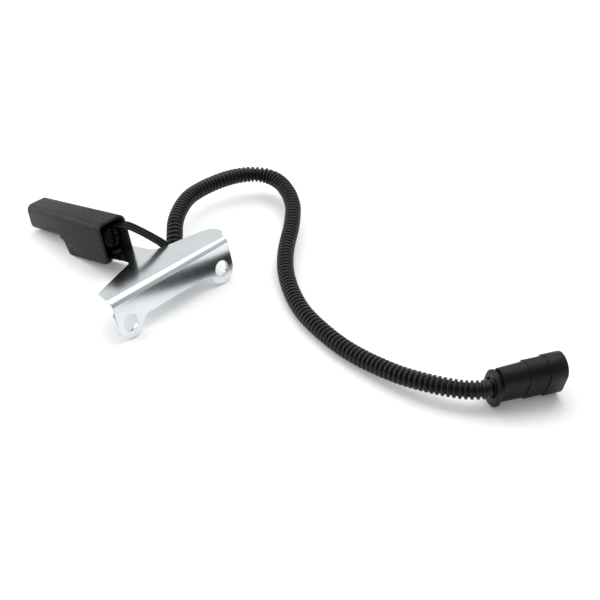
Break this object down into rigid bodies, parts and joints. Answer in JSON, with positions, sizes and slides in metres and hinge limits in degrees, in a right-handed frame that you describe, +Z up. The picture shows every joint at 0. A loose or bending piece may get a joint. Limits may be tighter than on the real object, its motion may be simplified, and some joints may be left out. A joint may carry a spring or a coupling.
{
  "type": "crankshaft position sensor",
  "caption": "Black moulded Hall sensor with a stepped nose on a folded, plated steel bracket with bolt holes, wired through a split loom to an oval sealed connector.",
  "frame": {"origin": "on the surface that the part lies on, under the middle of the bracket and housing", "axes": "+X along the bracket's fold, +Y level, from the flange towards the sensing nose, +Z up"},
  "size_m": [0.1756, 0.3352, 0.0333],
  "materials": {
    "plated_steel": "bright zinc plate on rolled sheet",
    "housing_plastic": "satin moulded",
    "rivet_black": "glossy black",
    "resin": "cast, satin",
    "board_laminate": "solder mask",
    "chip_epoxy": "moulded",
    "magnet": "sintered",
    "pole_steel": "ground",
    "capacitor_ceramic": "fired ceramic",
    "contact_brass": "stamped",
    "wire_insulation": "extruded, satin",
    "loom_plastic": "blown corrugated tube, satin",
    "connector_plastic": "satin moulded",
    "plug_rubber": "moulded",
    "ring_rubber": "moulded",
    "lock_plastic": "satin moulded"
  },
  "bodies": {
    "root": {"mounting_bracket": "plated_steel", "sensor_housing": "housing_plastic", "housing_rivet": "rivet_black", "potting_fill": "resin", "circuit_board": "board_laminate", "hall_chip": "chip_epoxy", "bias_magnet": "magnet", "pole_piece": "pole_steel", "chip_capacitors": "capacitor_ceramic", "lead_frame": "contact_brass", "power_wire": "wire_insulation", "signal_wire": "wire_insulation", "ground_wire": "wire_insulation", "split_loom": "loom_plastic", "connector_shell": "connector_plastic", "contact_carrier": "connector_plastic", "seal_retainer": "connector_plastic", "cable_seal": "plug_rubber", "interface_seal": "ring_rubber", "terminal_lock": "lock_plastic", "power_terminal": "contact_brass", "signal_terminal": "contact_brass", "ground_terminal": "contact_brass"}
  },
  "joints": []
}
